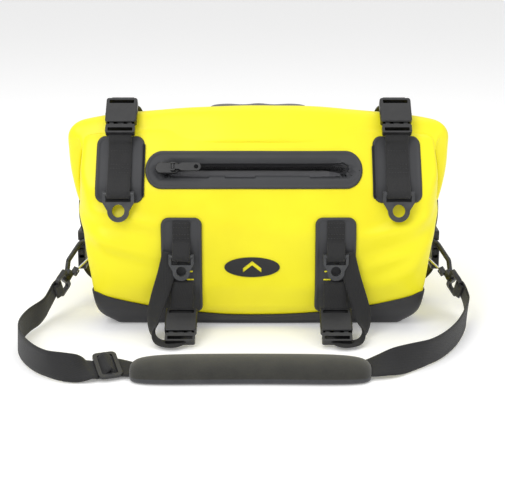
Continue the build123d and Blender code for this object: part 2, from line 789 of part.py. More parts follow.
GLIDE = (-150.0, -244.0)
glide_plane = Plane(origin=(GLIDE[0], GLIDE[1], 9), x_dir=(0.94, 0.34, 0), z_dir=(0.1, -0.28, 0.95))
with BuildPart() as strap_fittings:
    add(swivel_loop(-1))
    add(swivel_loop(1))
    with BuildSketch(glide_plane):
        RectangleRounded(24, 38, 5)
        with Locations((-5.2, 0), (5.2, 0)):
            RectangleRounded(5.4, STRAP + 2, 2, mode=Mode.SUBTRACT)
    extrude(amount=3)
save(strap_fittings.part, "strap_fittings")

# %% Shoulder strap webbing: it stands on its edge from the hooks to the pad
EDGE_Z = STRAP / 2 + 1
LEFT_ROUTE = [
    (-229, -84),
    (-240, -102),
    (-252, -132),
    (-254, -172),
    (-240, -214),
    (-214, -250),
    (-184, -262),
]
RIGHT_ROUTE = [
    (229, -84),
    (230, -104),
    (222, -134),
    (206, -176),
    (180, -216),
    (148, -238),
    (118, -242),
]


def edge_strap(route):
    """Webbing on its edge along a route of straight runs and tangent arcs."""
    runs = [(Vector(*b) - Vector(*a)).length for a, b in zip(route[:-1], route[1:])]
    radii = []
    for i in range(1, len(route) - 1):
        back = Vector(*route[i]) - Vector(*route[i - 1])
        onward = Vector(*route[i + 1]) - Vector(*route[i])
        turn = radians(back.get_angle(onward))
        radii.append(0.45 * min(runs[i - 1], runs[i]) / tan(turn / 2))
    strap = ribbon(Plane.XY.offset(EDGE_Z), route, STRAP, radii, STRAP_THICK)
    length = strap.volume / (STRAP * STRAP_THICK)
    print("strap length", round(length), "of runs", round(sum(runs)), "radii", [round(r) for r in radii])
    return strap


with BuildPart() as shoulder_webbing:
    add(edge_strap(LEFT_ROUTE))
    add(edge_strap(RIGHT_ROUTE))
save(shoulder_webbing.part, "shoulder_webbing")

# %% Shoulder pad: a moulded arch, lying on its two long edges
PAD = (-128.0, 112.0)
PAD_Y = (-272.0, -218.0)
PAD_RISE = 19.0
PAD_WALL = 8.0
with BuildPart() as shoulder_pad:
    with BuildSketch(Plane.YZ.offset(PAD[0])):
        with BuildLine():
            crown = ThreePointArc((PAD_Y[0], 0.4), (sum(PAD_Y) / 2, PAD_RISE), (PAD_Y[1], 0.4))
            hollow = ThreePointArc(
                (PAD_Y[0] + PAD_WALL, 0.4),
                (sum(PAD_Y) / 2, PAD_RISE - PAD_WALL),
                (PAD_Y[1] - PAD_WALL, 0.4),
            )
            Line(crown @ 0, hollow @ 0)
            Line(crown @ 1, hollow @ 1)
        make_face()
    extrude(amount=PAD[1] - PAD[0])
    with BuildSketch(Plane.XY):
        with Locations((sum(PAD) / 2, sum(PAD_Y) / 2)):
            RectangleRounded(PAD[1] - PAD[0], PAD_Y[1] - PAD_Y[0], 22)
    extrude(amount=PAD_RISE + 1, mode=Mode.INTERSECT)
save(shoulder_pad.part, "shoulder_pad")
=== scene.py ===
# %% [markdown]
# # A roll-top tail bag
# The bag is a welded shell of yellow coated fabric with a black wear tray, a rolled mouth whose
# ends fold down as ears, a welded zip pocket, lashing webbing with moulded buckles and rings,
# and a padded shoulder strap lying in front of it. The hard fittings come from the CAD frame.
# Everything soft is made here, in the same frame, in metres.

# %% Load the frame
import json
import math
import random

import bmesh
import bpy
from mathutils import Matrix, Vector, noise
from mathutils.bvhtree import BVHTree


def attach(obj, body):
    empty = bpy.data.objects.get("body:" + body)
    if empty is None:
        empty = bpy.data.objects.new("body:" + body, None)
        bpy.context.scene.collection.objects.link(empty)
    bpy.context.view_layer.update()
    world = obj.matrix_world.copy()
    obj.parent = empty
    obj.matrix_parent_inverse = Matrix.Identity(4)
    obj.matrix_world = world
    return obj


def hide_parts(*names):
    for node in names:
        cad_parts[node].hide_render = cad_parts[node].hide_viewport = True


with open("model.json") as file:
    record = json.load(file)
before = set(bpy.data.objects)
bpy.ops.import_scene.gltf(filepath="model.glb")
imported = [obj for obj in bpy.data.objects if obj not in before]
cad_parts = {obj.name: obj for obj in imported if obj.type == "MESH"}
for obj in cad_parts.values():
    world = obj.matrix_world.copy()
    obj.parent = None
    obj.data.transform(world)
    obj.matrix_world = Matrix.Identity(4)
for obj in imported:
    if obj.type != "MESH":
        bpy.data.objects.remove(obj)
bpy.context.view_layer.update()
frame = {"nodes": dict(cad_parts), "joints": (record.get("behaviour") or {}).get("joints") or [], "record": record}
nodes = frame["nodes"]
random.seed(7)

# %% [markdown]
# ## A small language for materials
# Shader nodes are easier to read as sums. `Socket` wraps one output, so that `noise * 0.2 + 0.5`
# adds the Math nodes. Colours go through Mix nodes. `Finish.node` adds any other node.

# %% Shader helpers


def plain(value):
    """A number, or the socket inside a wrapper."""
    return value.socket if isinstance(value, Socket) else value


class Socket:
    """One output of a node, with the arithmetic that the finishes use."""

    def __init__(self, finish, socket):
        self.finish = finish
        self.socket = socket

    def math(self, operation, *others):
        return self.finish.node("ShaderNodeMath", {"operation": operation}, [self, *others])

    def __add__(self, other):
        return self.math("ADD", other)

    def __sub__(self, other):
        return self.math("SUBTRACT", other)

    def __mul__(self, other):
        return self.math("MULTIPLY", other)

    def __rsub__(self, other):
        return self.finish.node("ShaderNodeMath", {"operation": "SUBTRACT"}, [other, self])

    __radd__ = __add__
    __rmul__ = __mul__

    def sine(self):
        return self.math("SINE")

    def size(self):
        return self.math("ABSOLUTE")

    def within(self, low, high):
        """0 below low, 1 above high, with a smooth ramp between."""
        settings = {"interpolation_type": "SMOOTHSTEP"}
        return self.finish.node("ShaderNodeMapRange", settings, {"Value": self, "From Min": low, "From Max": high})


class Finish:
    """One material: a Principled shader and the nodes that feed it."""

    def __init__(self, name, colour, roughness, **constants):
        self.material = bpy.data.materials.new(name)
        self.material.use_nodes = True
        self.tree = self.material.node_tree
        self.shader = self.tree.nodes["Principled BSDF"]
        self.material.diffuse_color = (*colour, 1)
        self.shader.inputs["Base Color"].default_value = (*colour, 1)
        self.shader.inputs["Roughness"].default_value = roughness
        for key, value in constants.items():
            self.shader.inputs[key.replace("_", " ")].default_value = value

    def node(self, kind, settings=None, inputs=(), output=0):
        made = self.tree.nodes.new(kind)
        for key, value in (settings or {}).items():
            setattr(made, key, value)
        pairs = inputs.items() if isinstance(inputs, dict) else enumerate(inputs)
        for key, value in pairs:
            value = plain(value)
            if isinstance(value, bpy.types.NodeSocket):
                self.tree.links.new(value, made.inputs[key])
            else:
                made.inputs[key].default_value = value
        return Socket(self, made.outputs[output])

    def place(self):
        return self.node("ShaderNodeTexCoord", output="Object")

    def along(self, name):
        """A value kept on the mesh: how far across or along a strip a point is."""
        return self.node("ShaderNodeAttribute", {"attribute_name": name}, output="Fac")

    def noise(self, scale, detail=3.0, rough=0.5):
        inputs = {"Vector": self.place(), "Scale": scale, "Detail": detail, "Roughness": rough}
        return self.node("ShaderNodeTexNoise", None, inputs, output="Fac")

    def blend(self, factor, first, second):
        inputs = {"Factor": factor, 6: first, 7: second}
        return self.node("ShaderNodeMix", {"data_type": "RGBA"}, inputs, output=2)

    def set(self, name, value):
        self.tree.links.new(plain(value), self.shader.inputs[name])

    def bump(self, height, strength, distance=0.0005):
        inputs = {"Strength": strength, "Distance": distance, "Height": height}
        self.set("Normal", self.node("ShaderNodeBump", None, inputs))


def rgb(r, g, b):
    return (r, g, b, 1.0)


# %% [markdown]
# ## Finishes
# The coated fabric is glossy enough to show soft highlights, and its skin has a fine pebble from
# the scrim under the coating. Webbing is ribbed across its width and carries paler thread.

# %% Yellow and black coated fabric


def coated(name, colour, deep, roughness, grain):
    finish = Finish(name, colour, roughness, Specular_IOR_Level=0.4)
    cloud = finish.noise(9.0, 4.0)
    patch = finish.noise(46.0, 3.0)
    tone = cloud.within(0.3, 0.72) * 0.7 + patch * 0.3
    finish.set("Base Color", finish.blend(tone, rgb(*deep), rgb(*colour)))
    finish.set("Roughness", patch * 0.16 + roughness - 0.08)
    pebble = finish.noise(grain, 2.0)
    finish.bump(pebble + patch * 0.6, 0.16, 0.0004)
    return finish.material


YELLOW = coated("lemon_tarpaulin", (0.94, 0.86, 0.012), (0.87, 0.76, 0.008), 0.42, 900.0)
BLACK = coated("black_tarpaulin", (0.028, 0.028, 0.031), (0.018, 0.018, 0.02), 0.5, 1100.0)
RUBBER = coated("moulded_patch", (0.045, 0.046, 0.05), (0.032, 0.033, 0.036), 0.56, 1500.0)
EMBLEM = coated("emblem_film", (0.02, 0.02, 0.022), (0.012, 0.012, 0.014), 0.4, 700.0)

# %% Moulded plastic, wire and cloth


def moulded(name, colour, roughness, grain=2200.0, strength=0.1):
    finish = Finish(name, colour, roughness)
    wear = finish.noise(160.0, 4.0)
    finish.set("Roughness", wear * 0.22 + roughness - 0.11)
    dark = rgb(*(0.7 * c for c in colour))
    finish.set("Base Color", finish.blend(wear.within(0.3, 0.7), dark, rgb(*colour)))
    finish.bump(finish.noise(grain, 2.0), strength, 0.0002)
    return finish.material


BUCKLE = moulded("buckle_plastic", (0.016, 0.016, 0.017), 0.38)
RING = moulded("ring_plastic", (0.05, 0.052, 0.056), 0.34)
HOOK = moulded("hook_plastic", (0.035, 0.036, 0.04), 0.28)
GLOSS = moulded("side_ring_gloss", (0.075, 0.077, 0.084), 0.22)
BOARD = moulded("board_plastic", (0.1, 0.1, 0.1), 0.6)

steel = Finish("gate_wire", (0.72, 0.72, 0.73), 0.25, Metallic=1.0)
steel.set("Roughness", steel.noise(700.0, 2.0) * 0.2 + 0.16)
WIRE = steel.material


def woven(name, colour, pale, rib=0.0011, stitched=False):
    """Webbing: ribs across it, fine cords and fuzz. The stitched argument is not used."""
    finish = Finish(name, colour, 0.78, Sheen_Weight=0.1, Sheen_Roughness=0.5)
    across = finish.along("across")
    along = finish.along("along")
    ribs = (along * (2 * math.pi / rib)).sine() * 0.5 + 0.5
    cords = (across * (2 * math.pi / (rib * 1.6)) + along * 900.0).sine() * 0.5 + 0.5
    fuzz = finish.noise(1400.0, 3.0)
    weave = ribs * 0.55 + cords * 0.45
    tone = weave * 0.55 + fuzz * 0.45
    finish.set("Base Color", finish.blend(tone, rgb(*colour), rgb(*pale)))
    finish.bump(weave + fuzz * 0.5, 0.55, 0.0004)
    return finish.material


WEBBING = woven("black_webbing", (0.004, 0.004, 0.0045), (0.017, 0.017, 0.018))
THREAD = moulded("black_thread", (0.035, 0.035, 0.037), 0.6, 3000.0, 0.3)


def cloth(name, colour, pale, scale):
    finish = Finish(name, colour, 0.85, Sheen_Weight=0.3)
    grid = finish.noise(scale, 2.0) * 0.6 + finish.noise(60.0, 3.0) * 0.4
    finish.set("Base Color", finish.blend(grid.within(0.3, 0.7), rgb(*colour), rgb(*pale)))
    finish.bump(finish.noise(scale, 3.0), 0.5, 0.0004)
    return finish.material


PAD_TOP = cloth("pad_cloth", (0.013, 0.013, 0.01), (0.03, 0.029, 0.022), 1200.0)
PAD_LIP = cloth("pad_binding", (0.025, 0.026, 0.029), (0.05, 0.052, 0.057), 1500.0)
GRIP = cloth("grip_cloth", (0.022, 0.022, 0.024), (0.05, 0.05, 0.053), 1300.0)
ZIP_CLOTH = coated("coated_zip_tape", (0.03, 0.03, 0.033), (0.02, 0.02, 0.022), 0.45, 1300.0)
LINER = cloth("liner_cloth", (0.06, 0.06, 0.065), (0.1, 0.1, 0.11), 900.0)

# %% [markdown]
# ## Camera, floor and light
# The bag is seen from the front, from a little above. Two large soft boxes and a pale world keep
# the shadows weak, as on a white product table.

# %% Camera
EYE = Vector((0.0, -1.284, 0.435))
TARGET = Vector((0.0, 0.0, 0.115))
camera_data = bpy.data.cameras.new("camera")
camera_data.lens = 80.0
camera_data.shift_x = -0.012
camera_data.shift_y = -0.088
camera = bpy.data.objects.new("camera", camera_data)
bpy.context.collection.objects.link(camera)
camera.location = EYE
camera.rotation_euler = (TARGET - EYE).to_track_quat("-Z", "Y").to_euler()
bpy.context.scene.camera = camera
bpy.context.scene.view_settings.view_transform = "Standard"

# %% Floor and lights
floor_mesh = bmesh.new()
bmesh.ops.create_grid(floor_mesh, x_segments=1, y_segments=1, size=6.0)
floor_data = bpy.data.meshes.new("floor")
floor_mesh.to_mesh(floor_data)
floor_mesh.free()
floor = bpy.data.objects.new("floor", floor_data)
bpy.context.collection.objects.link(floor)
white = {"Emission_Color": (1, 1, 1, 1), "Emission_Strength": 0.2}
floor.data.materials.append(Finish("pale_floor", (0.9, 0.9, 0.9), 0.7, **white).material)


def soft_box(name, place, size, power, aim=(0, 0, 0.1)):
    data = bpy.data.lights.new(name, "AREA")
    data.shape = "RECTANGLE"
    data.size, data.size_y = size
    data.energy = power
    light = bpy.data.objects.new(name, data)
    bpy.context.collection.objects.link(light)
    light.location = place
    light.rotation_euler = (Vector(aim) - Vector(place)).to_track_quat("-Z", "Y").to_euler()


soft_box("key_light", (-0.9, -1.6, 1.7), (1.1, 1.0), 20.0)
soft_box("fill_light", (1.5, -1.2, 1.1), (1.2, 1.2), 4.0)
soft_box("top_light", (0.0, 0.3, 2.0), (2.0, 1.6), 12.0)
world = bpy.data.worlds.new("studio")
world.use_nodes = True
world.node_tree.nodes["Background"].inputs["Color"].default_value = (1, 1, 1, 1)
world.node_tree.nodes["Background"].inputs["Strength"].default_value = 0.7
bpy.context.scene.world = world

# %% [markdown]
# ## Making meshes
# `strip` sweeps one section along a line of frames by extruding its outline step by step, and
# keeps two values on each point, across and along, for the weave. `finish_piece` gives the
# piece its finish, its body and the CAD nodes it stands for.

# %% Mesh helpers
MM = 0.001
CENTRE = Vector((0, 0, 0.105))


def finish_piece(name, mesh, material, replaces=(), levels=0, sheet=False, body="root"):
    bmesh.ops.recalc_face_normals(mesh, faces=mesh.faces)
    if sheet:
        inward = [f for f in mesh.faces if f.normal.dot(f.calc_center_median() - CENTRE) < 0]
        bmesh.ops.reverse_faces(mesh, faces=inward)
    data = bpy.data.meshes.new(name)
    for face in mesh.faces:
        face.smooth = True
    mesh.to_mesh(data)
    mesh.free()
    piece = bpy.data.objects.new(name, data)
    bpy.context.collection.objects.link(piece)
    for each in material if isinstance(material, list) else [material]:
        data.materials.append(each)
    if levels:
        surface = piece.modifiers.new("smooth", "SUBSURF")
        surface.levels = surface.render_levels = levels
    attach(piece, body)
    if replaces:
        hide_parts(*replaces)
    print(name, len(data.polygons), "faces")
    return piece


def strip(frames, mesh=None):
    """Sweeps outlines along frames of (centre, side, up, outline) and closes both ends."""
    mesh = mesh or bmesh.new()
    across = mesh.verts.layers.float.get("across") or mesh.verts.layers.float.new("across")
    along = mesh.verts.layers.float.get("along") or mesh.verts.layers.float.new("along")
    ring = bmesh.ops.create_circle(mesh, cap_ends=False, segments=len(frames[0][3]), radius=1.0)["verts"]
    first = edges = list({edge for vert in ring for edge in vert.link_edges})
    travel = 0.0
    last = frames[0][0]
    for step, (centre, side, up, outline) in enumerate(frames):
        travel += (centre - last).length
        if step:
            grown = bmesh.ops.extrude_edge_only(mesh, edges=edges)["geom"]
            fresh = {g for g in grown if isinstance(g, bmesh.types.BMVert)}
            edges = [g for g in grown if isinstance(g, bmesh.types.BMEdge) and fresh.issuperset(g.verts)]
            after = {}
            for vert in fresh:
                after[next(e.other_vert(vert) for e in vert.link_edges if e.other_vert(vert) not in fresh)] = vert
            ring = [after[vert] for vert in ring]
        for vert, (x, y) in zip(ring, outline):
            vert.co = centre + side * x + up * y
            vert[across] = x
            vert[along] = travel
        last = centre
    bmesh.ops.edgeloop_fill(mesh, edges=edges)
    bmesh.ops.edgeloop_fill(mesh, edges=first)
    return mesh


def band(wide, thick, cells=4):
    """The outline of flat webbing, in metres: even faces across it and rounded edges."""
    top = [(wide * (0.5 - i / cells), thick / 2) for i in range(cells + 1)]
    top[0] = (wide / 2 - thick / 3, thick / 2)
    top[-1] = (thick / 3 - wide / 2, thick / 2)
    low = [(-x, -y) for x, y in top]
    return top + [(-wide / 2, 0.0)] + low + [(wide / 2, 0.0)]


def mm(x, y, z):
    return Vector((x, y, z)) * MM


def tree_of(names):
    """One search tree over several CAD nodes, for casting points onto them."""
    joined = bmesh.new()
    for name in names:
        joined.from_mesh(nodes[name].data)
    made = BVHTree.FromBMesh(joined)
    joined.free()
    return made


def cast(tree, start, direction, stand=0.0):
    """Where a ray meets the tree, lifted off the surface by stand, with the outward normal."""
    point, normal, _, _ = tree.ray_cast(start, direction)
    if point is None:
        point, normal, _, _ = tree.find_nearest(start)
    if normal.dot(direction) > 0:
        normal = -normal
    return point + normal * stand, normal


def spline_points(points, resolution=8):
    """The points of a smooth line that follows a given route, in metres."""
    data = bpy.data.curves.new("route", "CURVE")
    data.dimensions = "3D"
    data.resolution_u = resolution
    line = data.splines.new("NURBS")
    line.points.add(len(points) - 1)
    for spot, place in zip(line.points, points):
        spot.co = (*place, 1.0)
    line.order_u = 3
    line.use_endpoint_u = True
    holder = bpy.data.objects.new("route", data)
    read = bpy.data.meshes.new_from_object(holder)
    found = [vert.co.copy() for vert in read.vertices]
    bpy.data.meshes.remove(read)
    bpy.data.objects.remove(holder)
    bpy.data.curves.remove(data)
    return found


def tangents(points):
    ends = [points[0], *points, points[-1]]
    return [(ends[i + 2] - ends[i]).normalized() for i in range(len(points))]


def flat_frames(points, side, outline):
    """Frames for a strip whose width keeps one direction all the way."""
    return [(p, side, side.cross(t).normalized(), outline) for p, t in zip(points, tangents(points))]


# %% [markdown]
# ## The shell
# The real body is cut from sheet and welded, so it is one tight skin with soft corners. A cube is
# divided into a fine grid, and each point goes out to the CAD panels. The corners are then
# smoothed, and long shallow creases are pressed in where the ears and straps pull the fabric.

# %% Body shell
PANELS = ("front_panel", "rear_panel", "left_end_panel", "right_end_panel", "top_panel", "bottom_panel")
panels = tree_of(PANELS)
SHELL_CELLS = (80, 56, 52)


def grid_box(cells, size, centre):
    """A closed box whose faces are divided into cells along each axis."""
    box = bmesh.new()
    bmesh.ops.create_cube(box, size=1.0)
    for axis, count in enumerate(cells):
        edges = [e for e in box.edges if abs((e.verts[0].co - e.verts[1].co)[axis]) > 0.5]
        bmesh.ops.subdivide_edges(box, edges=edges, cuts=count - 1)
    for vert in box.verts:
        vert.co = Vector(a * b for a, b in zip(vert.co, size)) + centre
    return box


# each crease: start, end, half width and height in millimetres; it runs as a ridge beside a dip
CREASES = [
    ((-196, 22, 172), (-192, 104, 150), 5, 3.4),
    ((-196, 20, 160), (-190, 96, 108), 6, 3.0),
    ((-197, 12, 146), (-190, 84, 92), 7, 2.4),
    ((-197, 8, 126), (-186, 92, 52), 8, 2.0),
    ((-196, -48, 150), (-190, -96, 118), 7, 2.2),
    ((-197, -30, 110), (-186, -92, 70), 8, 1.8),
    ((-196, 0, 70), (-180, 60, 30), 7, 1.6),
    ((196, 22, 172), (192, 104, 150), 5, 3.2),
    ((196, 20, 156), (190, 92, 102), 6, 2.8),
    ((197, 10, 128), (186, 88, 56), 8, 2.0),
    ((196, -48, 150), (190, -96, 118), 7, 2.2),
    ((197, -30, 104), (186, -90, 66), 8, 1.8),
    ((-180, -108, 134), (-108, -121, 118), 6, 3.0),
    ((-186, -102, 116), (-112, -120, 84), 7, 3.2),
    ((184, -104, 130), (112, -120, 106), 6, 3.0),
    ((190, -98, 108), (112, -120, 72), 7, 3.4),
    ((180, -108, 92), (130, -118, 56), 6, 2.8),
    ((-60, -120, 128), (20, -122, 118), 10, 0.9),
    ((30, -122, 48), (112, -121, 60), 10, 0.8),
    ((-30, 116, 150), (-120, 122, 70), 10, 1.6),
    ((40, 122, 60), (130, 118, 130), 10, 1.6),
    ((-40, 122, 90), (60, 122, 110), 12, 1.0),
]


def crease_height(point):
    """How far the creases lift one point of the skin, in metres."""
    lift = 0.0
    for start, end, half, height in CREASES:
        a, b = mm(*start), mm(*end)
        run = b - a
        t = (point - a).dot(run) / run.length_squared
        if -0.15 < t < 1.15:
            away = point - a - run * t
            across = away.dot(run.cross(point - CENTRE).normalized()) / (half * MM)
            if abs(across) < 3 and away.length < 0.05:
                fade = math.sin(math.pi * min(max((t + 0.15) / 1.3, 0), 1))
                lift += height * MM * fade * (math.exp(-across ** 2) - 0.8 * math.exp(-(across - 1.5) ** 2))
    return lift


shell = grid_box(SHELL_CELLS, (0.36, 0.2, 0.2), CENTRE)
for vert in shell.verts:
    ray = (vert.co - CENTRE).normalized()
    vert.co, _ = cast(panels, CENTRE + ray * 0.6, -ray)
for _ in range(4):
    bmesh.ops.smooth_vert(shell, verts=shell.verts, factor=0.5, use_axis_x=True, use_axis_y=True, use_axis_z=True)
shell.normal_update()
for vert in shell.verts:
    quiet = 1.0 if vert.co.z > 0.01 else 0.0
    soft = noise.noise(vert.co * 17.0) * 0.0009 + noise.noise(vert.co * 45.0) * 0.0003
    vert.co += vert.normal * (soft + crease_height(vert.co)) * quiet
skin_copy = shell.copy()
bag_shell = finish_piece("bag_shell", shell, YELLOW, PANELS, levels=1)
SKIN = BVHTree.FromBMesh(skin_copy)
skin_copy.free()


def skin_at(x, y, z, stand=0.0):
    """The skin straight behind a point, in millimetres: along Y, or along X beside the ends."""
    origin = mm(x, y, z)
    inward = Vector((0, -math.copysign(1, y), 0)) if abs(y) > 60 else Vector((-math.copysign(1, x), 0, 0))
    return cast(SKIN, origin - inward * 0.15, inward, stand * MM)


# %% [markdown]
# ## Base tray
# A heavy black layer wraps the bottom and is welded up the walls, highest at the corners. It is
# another box without its lid: each upright line of the grid is scaled to the wavy edge's height
# and laid on the skin, and Solidify gives the layer its thickness.

# %% Base tray
TRAY_STAND = 1.8


def tray_edge(x, y):
    """The height of the tray's edge, in metres: low at the middles, high at the corners."""
    front_share = min(abs(x) / 0.164, 1.0) ** 2.2
    end_share = min(max((abs(y) - 0.06) / 0.032, 0.0), 1.0)
    end_share *= end_share * (3 - 2 * end_share)
    on_front = abs(y) / 0.12 > abs(x) / 0.195
    return 0.013 + 0.031 * front_share if on_front else 0.008 + 0.036 * end_share


tray = grid_box((64, 40, 9), (0.40, 0.24, 1.0), Vector((0, 0, 0.5)))
lid = [f for f in tray.faces if f.normal.z > 0.9]
bmesh.ops.delete(tray, geom=lid, context="FACES")
for vert in tray.verts:
    share = vert.co.z
    flat = Vector((vert.co.x, vert.co.y, 0))
    if share > 0.001:
        ray = flat.normalized()
        low, _ = cast(SKIN, ray * 0.6 + mm(0, 0, 20), -ray)
        height = max(share * tray_edge(low.x, low.y), 0.0008)
        vert.co, _ = cast(SKIN, ray * 0.6 + Vector((0, 0, max(height + 0.0015, 0.007))), -ray, TRAY_STAND * MM)
        vert.co *= 1 - 0.03 * max(0.0, 1 - height / 0.007)
        vert.co.z = height
    else:
        reach = max(abs(flat.x) / 0.2, abs(flat.y) / 0.12)
        ray = flat.normalized() if flat.length else Vector((1, 0, 0))
        rim, _ = cast(SKIN, ray * 0.6 + mm(0, 0, 7), -ray)
        vert.co = Vector((rim.x, rim.y, 0)) * (reach * 0.965)
        vert.co.z = 0.0002
bmesh.ops.recalc_face_normals(tray, faces=tray.faces)
base = finish_piece("base_wear_tray", tray, BLACK, ("base_tray",), levels=1, sheet=True)
layer = base.modifiers.new("layer", "SOLIDIFY")
layer.thickness = 0.0016
layer.offset = -1

# %% [markdown]
# ## Roll and ears
# The mouth is rolled back round a stiff strip into one flat bar, and its ends fold down over the
# body as ears that narrow to the side straps. One outline is swept along the whole bar. Over the
# front it reaches down as a lip, because the front sheet runs up over the roll without a break.

# %% Roll with its ears
ROLL_Y = -18.0
TILT = math.radians(12.6)
ROLL_OUTLINE = [
    (-57.5, -32), (-50.5, -12), (-46.5, 0), (-43, 6.5), (-36, 9.2), (-22, 9.0), (-4, 8.2), (14, 8.3),
    (30, 8.4), (38, 7.2), (42.5, 3.5), (43.5, -1), (42, -5.5), (37, -8), (26, -8.6), (12, -8.8),
    (-4, -9), (-18, -9), (-30, -9.5), (-38, -11), (-42.5, -14), (-46, -21), (-50.5, -27), (-55.5, -34),
]


def ear_outline(wide, thick, lean):
    """The same number of points as the roll, round a flat bar with a sharper front edge."""
    outline = []
    for i in range(len(ROLL_OUTLINE)):
        angle = math.pi + 0.2 - 2 * math.pi * (i + 0.5) / len(ROLL_OUTLINE)
        x = 0.5 * math.copysign(abs(math.cos(angle)) ** 0.5, math.cos(angle))
        y = 0.5 * math.copysign(abs(math.sin(angle)) ** 0.7, math.sin(angle))
        outline.append((x * wide * MM, (y * thick + lean * x) * MM))
    return outline


def mixed(first, second, share):
    return [((1 - share) * a + share * c, (1 - share) * b + share * d) for (a, b), (c, d) in zip(first, second)]


def roll_frames():
    """From the foot of the left ear up over the bend to the middle, and the same mirrored."""
    full = [(x * MM, y * MM) for x, y in ROLL_OUTLINE]
    frames = []
    for share, z, out in ((0, 128, 202.5), (0.03, 129.5, 203), (0.15, 139, 205), (0.36, 154, 207), (0.58, 169, 208),
                          (0.8, 184, 208), (0.93, 194, 207.5)):
        outline = mixed(ear_outline(48 + 36 * share, 8 + 3 * share, 5), full, 0.45 * max(0.0, share - 0.3))
        frames.append((mm(-out, -22 + 3 * share, z), Vector((0, 1, 0)), Vector((-1, 0, 0)), outline))
    ear_top = ear_outline(86, 13, 3)
    for degrees in (20, 45, 70):
        turn = math.radians(degrees)
        share = degrees / 90
        centre = mm(-200 - 7 * math.cos(turn), -19.5, 200 + 7 * math.sin(turn))
        side = Vector((0, math.cos(TILT * share), -math.sin(TILT * share)))
        up = Vector((-math.cos(turn), 0, math.sin(turn)))
        frames.append((centre, side, up, mixed(ear_top, full, 0.35 + share * 0.45)))
    for x in (-197, -190, -180, -168, -156, -144, -128, -112, -96, -80, -64, -48, -32, -16, 0):
        up = Vector((0.09 * x / 180, math.sin(TILT), math.cos(TILT))).normalized()
        drop = 15 * (x / 195) ** 2
        share = min(1.0, 0.8 + (197 + x) / 60)
        centre = mm(x, ROLL_Y, 223.2 - drop)
        frames.append((centre, Vector((0, math.cos(TILT), -math.sin(TILT))), up, mixed(ear_top, full, share)))
    flipped = [(Vector((-c.x, c.y, c.z)), s, Vector((-u.x, u.y, u.z)), o) for c, s, u, o in frames[:-1]]
    return frames + flipped[::-1]


roll = strip(roll_frames())
roll.normal_update()
for vert in roll.verts:
    soft = noise.noise(vert.co * 22.0) * 0.0011 + noise.noise(vert.co * 60.0) * 0.0004
    vert.co += vert.normal * soft
finish_piece("rolled_mouth", roll, YELLOW, ("roll_top", "roll_ends"), levels=2)

# %% [markdown]
# ## Moulded patches
# Each patch is a flat plate with a raised rim, welded to the skin. A grid is rounded at its
# corners, given its height from the distance to the edge, and cast onto the skin, so it bends
# with the body. Solidify closes it underneath.

# %% Patches
RIM = 2.6


def rounded_grid(mesh, wide, tall, corner, cell):
    """A grid whose four corners are rounded, in millimetres in its own plane."""
    counts = [max(2, round(size / cell)) for size in (wide, tall)]
    made = bmesh.ops.create_grid(mesh, x_segments=counts[0], y_segments=counts[1], size=0.5)["verts"]
    for vert in made:
        x, y = vert.co.x * wide, vert.co.y * tall
        over = Vector((max(abs(x) - wide / 2 + corner, 0), max(abs(y) - tall / 2 + corner, 0), 0))
        if over.x and over.y:
            over *= max(over.x, over.y) / over.length
            x = math.copysign(wide / 2 - corner + over.x, x)
            y = math.copysign(tall / 2 - corner + over.y, y)
        vert.co = (x, y, 0)
    return made


def edge_gap(x, y, wide, tall, corner):
    """How far inside a rounded rectangle's edge a point is."""
    dx, dy = abs(x) - wide / 2 + corner, abs(y) - tall / 2 + corner
    outside = math.hypot(max(dx, 0), max(dy, 0)) + min(max(dx, dy), 0)
    return corner - outside


def patch_height(gap):
    """Section of a patch from its edge inwards: bevel, raised rim, lower field."""
    if gap < 0.7:
        return 0.9 + 1.3 * gap / 0.7
    if gap < RIM:
        return 2.2
    return 2.2 - 0.8 * min((gap - RIM) / 0.9, 1.0)


def lay(mesh, verts, facing, centre, base=0.0, tall=patch_height, shape=None):
    """Casts flat points onto the skin from the front (-1) or the rear (1)."""
    for vert in verts:
        x, y = vert.co.x, vert.co.y
        stand = base + tall(edge_gap(x, y, *shape))
        vert.co, _ = skin_at(centre[0] + x, facing * 130, centre[1] + y, stand)


UPPER, LOWER = (52, 66, 9), (44, 106, 8)
patches = bmesh.new()
for x in (-1, 1):
    lay(patches, rounded_grid(patches, *UPPER, 1.3), -1, (x * 150, 176), shape=UPPER)
    lay(patches, rounded_grid(patches, *LOWER, 1.3), -1, (x * 83, 75), 2.2, shape=LOWER)
    lay(patches, rounded_grid(patches, *LOWER, 1.3), 1, (x * 83, 98), shape=LOWER)
    for vert in rounded_grid(patches, 52, 48, 9, 1.3):
        stand = patch_height(edge_gap(vert.co.x, vert.co.y, 52, 48, 9))
        above = mm(x * 150 + vert.co.x, 85 + vert.co.y, 320)
        vert.co, _ = cast(SKIN, above, Vector((0, 0, -1)), stand * MM)
patch_piece = finish_piece("moulded_patches", patches, RUBBER, ("attachment_patches",), sheet=True)


def give_thickness(piece, depth):
    layer = piece.modifiers.new("layer", "SOLIDIFY")
    layer.thickness = depth * MM
    layer.offset = -1
    layer.use_even_offset = False


give_thickness(patch_piece, 1.4)

# %% [markdown]
# ## Zip pocket
# The pocket is closed by a coated zip under a long welded patch with a window. The patch is a
# grid like the others, with a welt round its window, and the chain is two rows of small teeth.

# %% Zip patch, tape and chain
ZIP_PLACE = (-5, 176)
WINDOW = (206, 13, 6.4)
ZIP_PATCH = (235, 37, 18.4)


def zip_patch_height(x, y):
    """The patch's section: rim, field, and a welt that drops into the window."""
    into = edge_gap(x, y, *WINDOW)
    if into > 0:
        return 1.4 - 1.25 * min(into / 1.3, 1.0)
    if into > -2.4:
        return 1.4 + 0.9 * math.sin(math.pi * -into / 2.4)
    return patch_height(edge_gap(x, y, *ZIP_PATCH))


